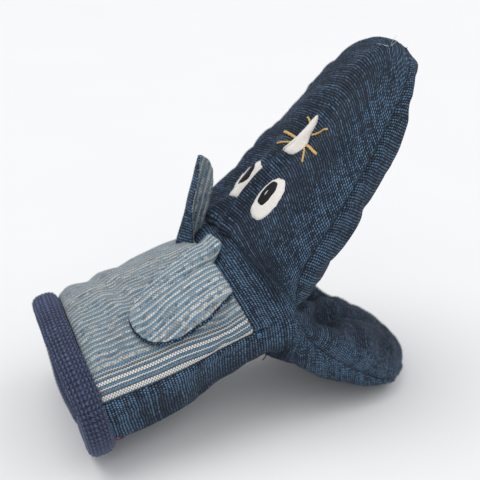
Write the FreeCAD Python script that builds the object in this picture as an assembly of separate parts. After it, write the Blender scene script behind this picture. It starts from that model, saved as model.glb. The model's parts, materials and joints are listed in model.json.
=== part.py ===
import FreeCAD, Part
import math
import os

# Hand puppet: an oval sleeve for the wrist, a long head above a deep open mouth, and a lower jaw.
# Millimetres. +X runs from the cuff towards the nose, +Y is the puppet's left and +Z is up.
# The origin is the middle of the flat under the cuff, where the puppet rests on a table.

# --- driving dimensions ------------------------------------------------------------------------
FABRIC = 1.5                # outer cloth with its seam allowance
WADDING = 2.8               # thin quilted filling in the head and jaw
WADDING_GAP = 0.8           # free space between the outer cloth and the filling
LINING = 1.1
LINING_GAP = 2.4            # free space between the sleeve's cloth and its lining
LAYER_GAP = 0.3             # free space between two layers of cloth
SEAM_GAP = 0.2              # slit between two panels where they are sewn
THREAD_RADIUS = 0.45
THREAD_LIFT = 0.8           # distance of a seam thread's middle from the cloth
EDGE_LIFT = 1.4             # the same round the head and jaw, where the cloth curves more
THREAD_TIP = 2.2            # and of its turn round the nose or chin from the last station

# A sleeve station is (x, z, axis angle, half width, half height, seam angle): the seam angle is how
# far the side seam sits above the widest point of the oval.
SLEEVE = [
    (-1.5, 37.9, 13.0, 55.5, 34.0, 15.0),
    (38.0, 51.0, 15.0, 52.0, 34.5, 6.0),
    (79.5, 68.0, 24.0, 46.5, 32.0, -4.0),
    (110.0, 75.5, 3.0, 45.5, 31.5, -4.0),
]
NECK_STATION = 2            # the station where the striped cloth ends and the head's cloth begins

CUFF_WIDTH = 14.0
CUFF_EDGE = 0.6             # how far the rolled binding stands proud of the cloth at its two edges
CUFF_ROLL = 4.0             # and at the middle of its width
CUFF_CLEARANCE = 0.3
CUFF_FULLNESS = 0.7         # below 1 the roll is squarer than a half circle
CUFF_STEPS = 6
NECK_SEAM_START = 12.0      # degrees above the oval's axis at which the neck seam's thread begins

TACK_LENGTH = 2.6           # the two stitches that hold the binding at the right side seam
TACK_WIDTH = 0.8
TACK_START = 1.0            # distance of a stitch from the sleeve's edge
TACK_LIFT = 1.0
TACK_TURNS = (150.0, 212.0)

HINGE = (103.5, 72.0)       # x and z of the mouth fold, the line on which head and jaw turn
FOLD_CLEARANCE = 0.5
NAPE_PLANE = 128.0          # direction from the mouth fold to the neck seam on top
THROAT_PLANE = 231.5        # and to the throat below: the jaw opens down to this plane

# A head or jaw station is (distance from the fold, top, seam height, bottom, half width). The
# heights are measured square to the axis, from a line through the fold.
HEAD_AXIS = 50.0
HEAD = [
    (3.5, 36.0, 13.0, 1.2, 47.5),
    (24.0, 38.5, 17.0, 1.4, 49.5),
    (43.0, 38.5, 19.0, 1.6, 49.5),
    (64.0, 36.0, 21.0, 2.2, 48.0),
    (86.0, 33.4, 23.0, 3.6, 45.0),
    (106.0, 33.2, 24.2, 5.6, 40.5),
    (122.0, 33.4, 24.4, 8.0, 35.0),
    (134.0, 32.4, 24.0, 10.4, 28.0),
    (141.0, 30.0, 22.8, 13.0, 19.0),
    (145.0, 26.0, 21.4, 16.2, 8.0),
]
JAW_AXIS = -29.0
JAW = [
    (3.0, -1.4, -10.0, -34.0, 45.0),
    (20.0, -1.4, -14.0, -34.5, 45.5),
    (40.0, -1.4, -17.5, -34.0, 45.0),
    (60.0, -1.4, -20.0, -33.0, 43.5),
    (80.0, -1.6, -21.5, -31.6, 40.0),
    (94.0, -2.4, -21.5, -30.9, 35.0),
    (104.0, -4.6, -19.5, -25.8, 27.0),
    (109.5, -8.0, -16.5, -22.3, 17.0),
    (112.5, -12.0, -15.2, -18.8, 6.0),
]
FAN_ANGLE = -13.0           # the head's first station leans back to follow the neck seam
POCKET_STATIONS = 6         # stations that the wadding and the linings reach

# Roundness of the section above and below the seam: 2 is an ellipse, more is boxier.
SLEEVE_ROUNDNESS = (2.0, 2.2)
HEAD_ROUNDNESS = (2.2, 4.0)
JAW_ROUNDNESS = (3.0, 2.6)
ARC_POINTS = 11
OUTLINE_POINTS = 18         # points round a felt piece
REACH = 400.0               # larger than the whole puppet, for trimming solids

# Felt pieces and stitches on the head: distance from the fold and distance from the centre line.
EYE_CENTRE = (36.5, 18.5)
EYE_LENGTH = 27.0
EYE_WIDTH = 14.5
PUPIL_LENGTH = 11.5
PUPIL_WIDTH = 6.5
GLINT_LENGTH = 3.0
GLINT_WIDTH = 0.8
FELT = 1.0
EMBROIDERY = 0.8
BLAZE_START = 65.0
BLAZE_LENGTH = 25.0
BLAZE_WIDTH = 8.0
BLAZE_FULLNESS = 0.68       # width of the blunt half, as a share of BLAZE_WIDTH
BLAZE_TAPER = 0.62          # share of that width lost by the time the blaze reaches its point
WHISKER_WIDTH = 0.9
# each whisker stitch starts at (distance, offset) and ends at (distance, offset), on the right side
WHISKERS = [((73.2, 4.6), (68.0, 13.5)), ((74.5, 4.5), (74.0, 16.0)), ((80.9, 3.4), (85.5, 10.5))]

# An ear's hinge line runs across the puppet through this point of the neck seam.
RIGHT_EAR_ROOT = (66.0, -25.0, 95.0)
LEFT_EAR_ROOT = (62.0, 18.0, 94.0)
EAR_STEM = 3.0                      # from the hinge line to the ear's leaf
EAR_LENGTH = 47.0
EAR_WIDTH = 38.0                    # of the flopped ear, which lies open
FOLDED_EAR_WIDTH = 24.0             # of the standing ear, whose two halves are folded together
EAR_CLOTH = 1.2
EAR_LIFT = 0.6                      # space under the flopped ear
EAR_SLANT = 10.0                    # how far the flopped ear's tip lies further out than its root
EAR_CUP = 12.0                      # depth of the standing ear's hollow
EAR_LEAN = 15.0                     # degrees that the standing ear leans forward
EAR_WIDEST = 0.55                   # below 1 the widest place lies nearer the root
EAR_BLUNTNESS = 0.7                 # below 1 the root and the tip are rounder
EAR_STEPS = 12

SIDES = {"right": -1.0, "left": 1.0}


# --- helpers -----------------------------------------------------------------------------------
def direction(angle):
    a = math.radians(angle)
    return FreeCAD.Vector(math.cos(a), 0, math.sin(a))


def oval_point(centre, angle, half_width, height, turn, power):
    """A point of a rounded half oval: turn 0 is the puppet's left edge, 90 its top, 180 the right."""
    t = math.radians(turn)
    across = math.copysign(abs(math.cos(t)) ** (2.0 / power), math.cos(t))
    up = math.copysign(abs(math.sin(t)) ** (2.0 / power), math.sin(t))
    return centre + FreeCAD.Vector(0, half_width * across, 0) + direction(angle + 90) * (height * up)


def smooth(points):
    curve = Part.BSplineCurve()
    curve.interpolate(points)
    return curve.toShape()


class Station:
    """One cross-section of a padded tube, with its own heights above and below the seam."""

    def __init__(self, centre, angle, half_width, rise, drop, seam, roundness):
        self.centre = centre
        self.angle = angle
        self.half_width = half_width
        self.rise = rise
        self.drop = drop
        self.seam = seam
        self.roundness = roundness

    def point(self, turn, inset):
        above = math.sin(math.radians(turn)) >= 0
        height, power = (self.rise, self.roundness[0]) if above else (self.drop, self.roundness[1])
        return oval_point(self.centre, self.angle, self.half_width - inset, height - inset, turn, power)

    def turns(self, upper):
        slit = math.degrees(SEAM_GAP / self.half_width)
        if upper:
            first, last = self.seam + slit, 180.0 - self.seam - slit
        else:
            first, last = 180.0 - self.seam + slit, 360.0 + self.seam - slit
        return [first + (last - first) * i / (ARC_POINTS - 1) for i in range(ARC_POINTS)]

    def panel_wire(self, upper, outer, inner):
        """The closed outline of one panel's cut cloth, between two insets."""
        turns = self.turns(upper)
        outside = [self.point(t, outer) for t in turns]
        inside = [self.point(t, inner) for t in reversed(turns)]
        return Part.Wire([
            smooth(outside),
            Part.makeLine(outside[-1], inside[0]),
            smooth(inside),
            Part.makeLine(inside[-1], outside[0]),
        ])

    def ring_wire(self, inset):
        upper = [self.point(180.0 * i / (ARC_POINTS - 1), inset) for i in range(ARC_POINTS)]
        lower = [self.point(180.0 + 180.0 * i / (ARC_POINTS - 1), inset) for i in range(ARC_POINTS)]
        lower[0] = upper[-1]
        lower[-1] = upper[0]
        return Part.Wire([smooth(upper), smooth(lower)])


def sleeve_station(x, z, angle, half_width, half_height, seam):
    centre = FreeCAD.Vector(x, 0, z)
    return Station(centre, angle, half_width, half_height, half_height, seam, SLEEVE_ROUNDNESS)


def limb_station(roundness, axis, distance, top, seam, bottom, half_width, lean=0.0):
    fold = FreeCAD.Vector(HINGE[0], 0, HINGE[1])
    centre = fold + direction(axis) * distance + direction(axis + 90) * seam
    return Station(centre, axis + lean, half_width, top - seam, seam - bottom, 0.0, roundness)


def panel(stations, upper, outer, thickness):
    wires = [s.panel_wire(upper, outer, outer + thickness) for s in stations]
    return Part.makeLoft(wires, True, False)


def tube(stations, outer, thickness, closed_end=False):
    skin = Part.makeLoft([s.ring_wire(outer) for s in stations], True, False)
    inside = [s.ring_wire(outer + thickness) for s in stations]
    if closed_end:
        inside[-1].translate(direction(stations[-1].angle) * -thickness)
    return skin.cut(Part.makeLoft(inside, True, False))


def side_of_plane(point, normal):
    """A large block on the side of a plane that its normal points to."""
    block = Part.makeBox(REACH, REACH, REACH, FreeCAD.Vector(-REACH / 2, -REACH / 2, 0))
    block.Placement = FreeCAD.Placement(point, FreeCAD.Rotation(FreeCAD.Vector(0, 0, 1), normal))
    return block


def above_table(shape):
    return shape.common(side_of_plane(FreeCAD.Vector(0, 0, 0), FreeCAD.Vector(0, 0, 1)))


def between_fold_planes(shape):
    """Trims sleeve cloth to the wedge behind the mouth fold, clear of the head and the jaw."""
    fold = FreeCAD.Vector(HINGE[0], 0, HINGE[1])
    nape_inward = direction(NAPE_PLANE + 90)
    throat_inward = direction(THROAT_PLANE - 90)
    shape = shape.common(side_of_plane(fold + nape_inward * FOLD_CLEARANCE, nape_inward))
    return shape.common(side_of_plane(fold + throat_inward * FOLD_CLEARANCE, throat_inward))


def thread(points):
    path = smooth(points)
    start = path.FirstParameter
    circle = Part.Circle(path.valueAt(start), path.tangentAt(start), THREAD_RADIUS)
    return Part.Wire([path]).makePipeShell([Part.Wire([circle.toShape()])], True, True)


def prism(outline, along):
    """A closed outline pushed a long way both ways along a direction."""
    curve = Part.BSplineCurve()
    curve.interpolate(outline, True)
    face = Part.Face(Part.Wire([curve.toShape()]))
    face.translate(along * (-REACH / 2))
    return face.extrude(along * REACH)


def save(node, shape):
    shape.exportStep("parts/" + node + ".step")


# --- stations ----------------------------------------------------------------------------------
sleeve = [sleeve_station(*row) for row in SLEEVE]
head = [limb_station(HEAD_ROUNDNESS, HEAD_AXIS, *row) for row in HEAD]
head[0] = limb_station(HEAD_ROUNDNESS, HEAD_AXIS, *HEAD[0], lean=FAN_ANGLE)
jaw = [limb_station(JAW_ROUNDNESS, JAW_AXIS, *row) for row in JAW]


# --- sleeve ------------------------------------------------------------------------------------
def cuff_half(upper):
    """Half of the rolled knit binding: a fat band folded over the raw edge of the sleeve."""
    x, z, angle, half_width, half_height, seam = SLEEVE[0]
    wires = []
    for i in range(CUFF_STEPS + 1):
        across = i / CUFF_STEPS
        roll = CUFF_EDGE + (CUFF_ROLL - CUFF_EDGE) * math.sin(math.pi * across) ** CUFF_FULLNESS
        back = direction(angle) * -(CUFF_CLEARANCE + CUFF_WIDTH * across)
        station = sleeve_station(x + back.x, z + back.z, angle, half_width, half_height, seam)
        wires.append(station.panel_wire(upper, -roll, FABRIC + roll))
    return above_table(Part.makeLoft(wires, True, False))


def side_seam(side):
    """The thread line between the striped front and the dark back of the sleeve."""
    points = []
    for station in sleeve[:NECK_STATION + 1]:
        turn = station.seam if side > 0 else 180.0 - station.seam
        points.append(station.point(turn, -THREAD_LIFT))
    return thread(points)


def neck_seam():
    """The seam over the top of the neck, from one side seam to the other."""
    station = sleeve[NECK_STATION]
    ahead = direction(station.angle) * THREAD_LIFT
    step = (180.0 - 2 * NECK_SEAM_START) / (ARC_POINTS - 1)
    turns = [NECK_SEAM_START + step * i for i in range(ARC_POINTS)]
    return thread([station.point(t, -THREAD_LIFT) + ahead for t in turns])


def tack_stitches():
    """Short stitches that catch the binding down beside the right-hand side seam."""
    station = sleeve[0]
    corner = FreeCAD.Vector(TACK_START, -TACK_WIDTH / 2, -TACK_WIDTH / 2)
    stitches = []
    for turn in TACK_TURNS:
        spot = station.point(turn, -TACK_LIFT)
        outward = (spot - station.centre).normalize()
        along_sleeve = FreeCAD.Rotation(direction(station.angle), FreeCAD.Vector(0, 0, 0), outward, "XZY")
        bar = Part.makeBox(TACK_LENGTH, TACK_WIDTH, TACK_WIDTH, corner)
        bar.Placement = FreeCAD.Placement(spot, along_sleeve)
        stitches.append(bar)
    return Part.Compound(stitches)


def build_sleeve():
    front = sleeve[:NECK_STATION + 1]
    save("sleeve_front_panel", panel(front, True, 0.0, FABRIC))
    save("head_panel_nape", between_fold_planes(panel(neck_to_fold(), True, 0.0, FABRIC)))
    save("sleeve_back_panel", between_fold_planes(panel(sleeve, False, 0.0, FABRIC)))
    save("sleeve_lining", between_fold_planes(tube(sleeve, FABRIC + LINING_GAP, LINING)))
    save("cuff_binding_front", cuff_half(True))
    save("cuff_binding_back", cuff_half(False))
    save("cuff_tack_stitches", tack_stitches())
    save("neck_seam_thread", neck_seam())
    for name, side in SIDES.items():
        save("side_seam_thread_" + name, side_seam(side))


def neck_to_fold():
    """Stations for the head's cloth behind the fold, starting a seam's width past the striped cloth."""
    x, z, angle, half_width, half_height, seam = SLEEVE[NECK_STATION]
    ahead = direction(angle) * SEAM_GAP
    return [sleeve_station(x + ahead.x, z + ahead.z, angle, half_width, half_height, seam), sleeve[-1]]


# --- head and jaw ------------------------------------------------------------------------------
def edge_seam(stations):
    """The seam round the head or jaw, from one mouth corner round the tip to the other."""
    right = [s.point(180.0, -EDGE_LIFT) for s in stations]
    left = [s.point(0.0, -EDGE_LIFT) for s in stations]
    last = stations[-1]
    tip = last.centre + direction(last.angle) * THREAD_TIP
    return thread(right + [tip] + left[::-1])


def build_limb(prefix, stations, outer_upper):
    """The outer panel, the mouth panel, the wadding under the outer panel and the pocket lining."""
    mouth_name = "mouth_panel_upper" if outer_upper else "mouth_panel_lower"
    inner = stations[:POCKET_STATIONS]
    wadding_inset = FABRIC + WADDING_GAP
    lining_inset = wadding_inset + WADDING + LAYER_GAP
    outer = above_table(panel(stations, outer_upper, 0.0, FABRIC))
    mouth = above_table(panel(stations, not outer_upper, 0.0, FABRIC))
    save(prefix + "_panel", outer)
    save(mouth_name, mouth)
    save(prefix + "_wadding", above_table(panel(inner, outer_upper, wadding_inset, WADDING)))
    save(prefix + "_lining", tube(inner, lining_inset, LINING, closed_end=True))
    save(prefix + "_edge_seam", edge_seam(stations).cut([outer, mouth]))


# --- felt pieces and stitches on the head -------------------------------------------------------
def head_place(distance, offset):
    fold = FreeCAD.Vector(HINGE[0], 0, HINGE[1])
    return fold + direction(HEAD_AXIS) * distance + FreeCAD.Vector(0, offset, 0)


def patch(outline, lift, thickness):
    """A thin piece that follows the top of the head, cut to an outline of (distance, offset)."""
    layer = panel(head, True, -lift - thickness, thickness)
    return layer.common(prism([head_place(*p) for p in outline], direction(HEAD_AXIS + 90)))


def oval(centre, length, width):
    turns = [2 * math.pi * i / OUTLINE_POINTS for i in range(OUTLINE_POINTS)]
    return [(centre[0] + math.cos(t) * length / 2, centre[1] + math.sin(t) * width / 2) for t in turns]


def blaze_outline():
    """A carrot shape: blunt towards the neck and drawn out to a point towards the nose."""
    points = []
    for i in range(OUTLINE_POINTS):
        t = 2 * math.pi * i / OUTLINE_POINTS
        along = (1 - math.cos(t)) / 2
        offset = BLAZE_WIDTH * BLAZE_FULLNESS * math.sin(t) * (1.0 - BLAZE_TAPER * along)
        points.append((BLAZE_START + BLAZE_LENGTH * along, offset))
    return points


def stitch_outline(start, end):
    """A straight stitch with pointed ends, as shares of its length and sides of its centre line."""
    shares_and_sides = ((-0.5, 0), (-0.4, 1), (0, 1), (0.4, 1), (0.5, 0), (0.4, -1), (0, -1), (-0.4, -1))
    centre = ((start[0] + end[0]) / 2, (start[1] + end[1]) / 2)
    run = (end[0] - start[0], end[1] - start[1])
    length = math.hypot(*run)
    across = (-run[1] / length * WHISKER_WIDTH / 2, run[0] / length * WHISKER_WIDTH / 2)
    points = []
    for share, side in shares_and_sides:
        distance = centre[0] + run[0] * share + across[0] * side
        offset = centre[1] + run[1] * share + across[1] * side
        points.append((distance, offset))
    return points


def build_face():
    for name, side in SIDES.items():
        eye = (EYE_CENTRE[0], EYE_CENTRE[1] * side)
        save("eye_white_" + name, patch(oval(eye, EYE_LENGTH, EYE_WIDTH), LAYER_GAP, FELT))
        pupil_lift = LAYER_GAP * 2 + FELT
        save("pupil_" + name, patch(oval(eye, PUPIL_LENGTH, PUPIL_WIDTH), pupil_lift, EMBROIDERY))
        glint_lift = pupil_lift + EMBROIDERY + LAYER_GAP
        save("eye_glint_" + name, patch(oval(eye, GLINT_LENGTH, GLINT_WIDTH), glint_lift, EMBROIDERY))
        stitches = []
        for start, end in WHISKERS:
            outline = stitch_outline((start[0], start[1] * side), (end[0], end[1] * side))
            stitches.append(patch(outline, LAYER_GAP, EMBROIDERY))
        save("whisker_stitches_" + name, Part.Compound(stitches))
    save("blaze", patch(blaze_outline(), LAYER_GAP, FELT))


# --- ears --------------------------------------------------------------------------------------
def ear_half_width(share, width):
    """Half the ear's width at a share of its length: a full lower half and a round tip."""
    return width / 2 * math.sin(math.pi * share ** EAR_WIDEST) ** EAR_BLUNTNESS


def ear_outline():
    """The flopped right ear seen from above, from its root at the neck round its tip and back."""
    edge = []
    for i in range(ARC_POINTS):
        share = (1 - math.cos(math.pi * i / (ARC_POINTS - 1))) / 2
        along = EAR_STEM + (EAR_LENGTH - EAR_STEM) * share
        edge.append((along, ear_half_width(share, EAR_WIDTH), EAR_SLANT * share))
    x, y, _ = RIGHT_EAR_ROOT
    outer = [FreeCAD.Vector(x - along, y - slant - half, 0) for along, half, slant in edge]
    inner = [FreeCAD.Vector(x - along, y - slant + half, 0) for along, half, slant in edge[1:-1]]
    return outer + inner[::-1]


def flopped_ear_layer(lift):
    """One cloth of the right ear, draped over the shoulder of the sleeve."""
    layer = panel(sleeve, True, -lift - EAR_CLOTH, EAR_CLOTH)
    return layer.common(prism(ear_outline(), FreeCAD.Vector(0, 0, 1)))


def standing_ear_layer(setback):
    """One cloth of the left ear, cupped along its length and standing on the neck seam."""
    wires = []
    up = direction(90 - EAR_LEAN)
    for i in range(1, EAR_STEPS):
        share = i / EAR_STEPS
        half = ear_half_width(share, FOLDED_EAR_WIDTH)
        foot = FreeCAD.Vector(*LEFT_EAR_ROOT) + up * (EAR_STEM + (EAR_LENGTH - EAR_STEM) * share)
        front = []
        for k in range(ARC_POINTS):
            across = -1.0 + 2.0 * k / (ARC_POINTS - 1)
            depth = EAR_CUP * (2 * half / FOLDED_EAR_WIDTH) * across * across
            front.append(foot + FreeCAD.Vector(depth - setback, half * across, 0))
        back = [p - FreeCAD.Vector(EAR_CLOTH, 0, 0) for p in reversed(front)]
        wires.append(Part.Wire([
            smooth(front),
            Part.makeLine(front[-1], back[0]),
            smooth(back),
            Part.makeLine(back[-1], front[0]),
        ]))
    return Part.makeLoft(wires, True, False)


def build_ears():
    behind = EAR_CLOTH + LAYER_GAP
    save("ear_right_back", flopped_ear_layer(EAR_LIFT))
    save("ear_right_front", flopped_ear_layer(EAR_LIFT + behind))
    save("ear_left_back", standing_ear_layer(behind))
    save("ear_left_front", standing_ear_layer(0.0))


os.makedirs("parts", exist_ok=True)
build_sleeve()
build_limb("head", head, True)
build_limb("jaw", jaw, False)
build_face()
build_ears()
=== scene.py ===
import bpy
import json
import math
import numpy as np
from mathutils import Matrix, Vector, noise
from mathutils.bvhtree import BVHTree


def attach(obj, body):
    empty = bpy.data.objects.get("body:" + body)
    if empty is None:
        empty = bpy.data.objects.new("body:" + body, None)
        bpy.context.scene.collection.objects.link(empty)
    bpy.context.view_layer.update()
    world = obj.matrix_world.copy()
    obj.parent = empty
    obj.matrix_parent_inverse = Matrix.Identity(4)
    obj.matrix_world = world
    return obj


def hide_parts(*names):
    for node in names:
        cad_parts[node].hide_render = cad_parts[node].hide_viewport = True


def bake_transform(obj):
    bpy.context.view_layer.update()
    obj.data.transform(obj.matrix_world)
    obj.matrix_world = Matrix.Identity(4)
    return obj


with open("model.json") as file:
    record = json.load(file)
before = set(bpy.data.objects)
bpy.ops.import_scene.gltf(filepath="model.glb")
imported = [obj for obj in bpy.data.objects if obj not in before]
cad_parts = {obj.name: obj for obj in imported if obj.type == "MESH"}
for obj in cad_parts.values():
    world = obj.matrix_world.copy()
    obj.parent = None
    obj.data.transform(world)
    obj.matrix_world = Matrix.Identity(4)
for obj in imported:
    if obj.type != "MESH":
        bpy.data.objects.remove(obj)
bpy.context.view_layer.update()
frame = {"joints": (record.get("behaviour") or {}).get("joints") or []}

# Hand puppet: the padded cloth, knit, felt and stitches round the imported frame. Shapes are worked out
# in millimetres in the frame's own axes and turned into metres when a mesh is made. The cloth follows
# the same stations as the solids it stands for; the mouth fold and the ears' hinges come from the joints.
MM = 0.001
TINY = 1e-9                 # keeps a direction finite where cloth has no size

# --- driving dimensions ------------------------------------------------------------------------
# Sleeve station: x, z, axis angle, half width, half height, angle of the side seam.
SLEEVE = [
    (-1.5, 37.9, 13.0, 55.5, 34.0, 15.0),
    (38.0, 51.0, 15.0, 52.0, 34.5, 6.0),
    (79.5, 68.0, 24.0, 46.5, 32.0, -4.0),
]
# Head or jaw station: distance from the mouth fold, top, seam height, bottom, half width.
HEAD_AXIS = 50.0
HEAD_FAN = -13.0            # the first station leans back to follow the neck
HEAD = [
    (0.0, 36.0, 0.0, 0.0, 47.0),
    (12.0, 37.6, 12.5, -3.5, 50.5),
    (24.0, 38.5, 18.0, -4.5, 52.0),
    (43.0, 38.5, 20.0, -3.0, 52.2),
    (64.0, 36.0, 21.5, 0.0, 50.8),
    (86.0, 33.4, 23.0, 2.8, 47.6),
    (106.0, 33.2, 24.2, 5.0, 42.8),
    (122.0, 33.4, 24.4, 7.6, 36.6),
    (134.0, 32.4, 24.0, 10.4, 28.6),
    (141.0, 30.0, 22.8, 13.0, 19.0),
    (145.0, 26.0, 21.4, 16.2, 8.0),
]
HEAD_ROWS = (4, 6, 9, 10, 11, 10, 8, 6, 4, 3, 3)
JAW_AXIS = -29.0
JAW = [
    (0.0, 0.0, 0.0, -37.5, 47.0),
    (11.0, -1.4, -8.5, -37.0, 48.0),
    (20.0, -1.4, -13.0, -36.0, 48.5),
    (40.0, -1.4, -17.5, -35.0, 48.0),
    (60.0, -1.4, -20.0, -33.4, 46.5),
    (80.0, -1.6, -21.5, -31.6, 42.5),
    (91.0, -2.4, -21.5, -30.9, 36.5),
    (98.5, -4.6, -19.5, -26.8, 28.0),
    (103.0, -8.0, -16.5, -23.3, 17.0),
    (105.2, -12.0, -15.2, -18.8, 6.0),
]
JAW_ROWS = (4, 4, 9, 9, 9, 6, 5, 3, 2, 2)
SLEEVE_ROWS = (20, 21)
THROAT_ROWS = 10
THROAT = (8.0, 36.5)        # tilt and half height of the neck's lower half, which hangs nearly square
JAW_FAN = 13.0              # the first jaw station leans forward to follow the throat
COLUMNS = 61
OVAL_STEPS = 481            # points on an oval before they are spaced evenly
SLEEVE_ROUNDNESS = (2.0, 2.2)
HEAD_ROUNDNESS = (2.2, 3.6)
JAW_ROUNDNESS = (3.0, 2.6)
TIP_BULGE = 2.0

CLOTH = 1.0                 # thickness of the visible cloth
SEAM_DEPTH = 1.3            # how far a sewn seam pulls the cloth in
PRESSURE = 3.0
SLACK = 0.045               # share by which the cloth is cut larger than its seams
SIM_FRAMES = 16
RIB = 1.52                  # pitch of the dark cloth's ribs
DOT = 1.2                   # and of the dots along a rib
STRIPE_ROW = 0.95           # width of one yarn row of the striped cloth
GRAIN = 1.5                 # pitch of its dark and light grains
WEAVE_COLOURS = ((0.003, 0.0045, 0.0075), (0.02, 0.031, 0.052), (0.135, 0.255, 0.41))
# Grey of the painted sheen: the bloom of lit fuzz on the dark cloth's rib tops.
PAINTED_SHEEN_COLOUR = (0.042, 0.062, 0.094, 1.0)
PUCKER, PUCKER_PITCH = 0.28, 6.5    # height and pitch of the gathers beside a seam
FLOOR_GAP = 0.3             # the cloth lies this far above the table
OUTSIDE = 60.0              # rays that look for the cloth start this far from it
RAY_REACH = 400.0

# Places on the head are (distance from the mouth fold, offset to the left).
EYE_CENTRE = (38.7, 18.2)
EYE_SHIFT = 1.3             # the left eye stands twice this much nearer to the middle
EYE_SIZE = (25.4, 18.6)
PUPIL_SIZE = (14.6, 9.0)
PUPIL_SHIFT = (2.2, 1.4)    # both pupils look a little to the left
GLINT_SIZE = (3.4, 0.7)
BLAZE = (63.0, 26.0)        # start, length
RIDGE = -2.6                # the fold along the head, and the nose mark on it, stand right of the middle
BLAZE_EDGE = [              # share of the length, half width
    (0.0, 0.0), (0.012, 2.5), (0.05, 3.6), (0.18, 4.9), (0.32, 5.1), (0.43, 4.4),
    (0.54, 3.1), (0.68, 2.4), (0.85, 1.7), (0.96, 1.1), (1.0, 0.4),
]
# Gold stitches: start and end as (distance, offset) on the head, radius, bow.
WHISKERS = [
    ((71.0, 4.2), (64.5, 17.0), 0.52, 1.2),
    ((73.0, 4.0), (72.0, 20.5), 0.78, 0.4),
    ((79.0, 2.8), (86.0, 13.0), 0.55, 1.5),
]

SLEEVE_BODY, HEAD_BODY, JAW_BODY = "sleeve", "head", "jaw"
JOINTS = {joint["name"]: joint for joint in frame["joints"]}
HINGE = np.array(JOINTS["head_nod"]["pos_m"]) / MM
RIGHT_EAR = np.array(JOINTS["ear_right_lift"]["pos_m"]) / MM
LEFT_EAR = np.array(JOINTS["ear_left_fold"]["pos_m"]) / MM

# Folds: height, middle along the limb, length, middle across, width, how far they lean per mm.
ALL_ALONG = (0.0, math.inf)
CREST = [
    (3.8, *ALL_ALONG, 0.5, 2.9, 0.0),
    (2.0, 36.0, 15.0, 0.5, 2.9, 0.0),
    (-1.8, *ALL_ALONG, 9.5, 5.2, 0.0),
    (-3.6, 38.0, 17.0, 9.5, 5.2, 0.0),
    (-0.9, *ALL_ALONG, -6.5, 3.0, 0.0),
]
EYE_HOLLOW = [
    (-3.4, *ALL_ALONG, 25.0, 6.0, 0.0),
    (1.6, *ALL_ALONG, 38.0, 7.0, 0.0),
]
NOSE_RIDGE = [(1.3, *ALL_ALONG, 1.0, 5.0, 0.0)]
NOSE_DIPS = [
    (-3.0, 99.0, 5.0, 2.4, 1.8, 0.0),
    (-3.6, 79.0, 17.0, 0.0, 15.0, 0.0),
]
NAPE_BULGE = 6.0            # height of the fold that the bent neck pushes up
MOUTH_FOLDS = [
    (-16.0, 54.0, 17.0, 23.0, 9.0, 0.0),    # the hollow
    (-9.0, 38.0, 20.0, 12.0, 15.0, 0.0),
    (6.2, 38.0, 27.0, 44.0, 7.0, 0.0),      # its far rim
    (2.0, 25.0, 7.0, 44.0, 7.0, 0.0),
    (-5.0, 30.0, 9.0, -26.0, 8.0, 0.0),     # the corner of the mouth
    (6.4, 48.0, 22.0, 0.0, 3.2, 0.75),      # the lip before the hollow and the fold beside it
    (3.4, 46.0, 20.0, -8.8, 4.0, 0.2),
    (-4.0, 50.0, 22.0, -17.0, 3.4, 0.2),
    (6.0, 20.0, 16.0, -26.0, 4.2, 0.9),     # the flap at the corner
]
WRINKLE, PINCH = 1.3, 2.8   # height of the striped panel's wrinkles, depth of its crease


# --- outlines and surfaces ---------------------------------------------------------------------
def direction(angle):
    a = math.radians(angle)
    return np.array([math.cos(a), 0.0, math.sin(a)])


def smoothstep(value, low, high):
    t = np.clip((np.asarray(value, float) - low) / (high - low), 0.0, 1.0)
    return t * t * (3 - 2 * t)


def bell(value, centre, spread):
    return np.exp(-(((np.asarray(value, float) - centre) / spread) ** 2))


def rounded(value, power):
    """A sine or cosine bent outwards, so that a circle becomes a rounded oval."""
    return np.sign(value) * np.abs(value) ** power


def at_run(points, run, at):
    """The points at these distances along a line."""
    return np.stack([np.interp(at, run, points[:, k]) for k in range(3)], axis=1)


def evenly(points, count):
    run = run_along(points, 0)
    return at_run(points, run, np.linspace(0.0, run[-1], count))


def oval(centre, tilt, half_width, rise, drop, roundness, first, last, count=COLUMNS):
    """Evenly spaced points of a rounded oval: turn 0 is the left edge, 90 the top, 180 the right edge."""
    t = np.radians(np.linspace(first, last, OVAL_STEPS))
    above = np.sin(t) >= 0
    share = 2.0 / np.where(above, *roundness)
    up = rounded(np.sin(t), share) * np.where(above, rise, drop)
    side = np.array([0.0, half_width, 0.0])
    points = centre + rounded(np.cos(t), share)[:, None] * side + up[:, None] * direction(tilt + 90)
    return evenly(points, count)


def sleeve_wire(row, upper, inset=0.0):
    x, z, tilt, half_width, half_height, seam = row
    first, last = (180.0 - seam, seam) if upper else (180.0 - seam, 360.0 + seam)
    width, height = half_width - inset, half_height - inset
    return oval(np.array([x, 0.0, z]), tilt, width, height, height, SLEEVE_ROUNDNESS, first, last)


def on_limb(axis, distance, height, offset=0.0):
    """A place this far along a limb from the mouth fold, above its axis and to the left."""
    return HINGE + direction(axis) * distance + direction(axis + 90) * height + (0.0, offset, 0.0)


def limb_wire(row, axis, roundness, upper, lean=0.0):
    distance, top, seam, bottom, half_width = row
    centre = on_limb(axis, distance, seam)
    last = 0.0 if upper else 360.0
    return oval(centre, axis + lean, half_width, top - seam, seam - bottom, roundness, 180.0, last)


def tip_wire(row, axis):
    """The seam's turn round the nose or chin."""
    distance, _, seam, _, half_width = row
    t = np.radians(np.linspace(180.0, 0.0, COLUMNS))[:, None]
    turn = np.cos(t) * (0.0, half_width, 0.0) + np.sin(t) * direction(axis) * TIP_BULGE
    return on_limb(axis, distance, seam) + turn


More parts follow.
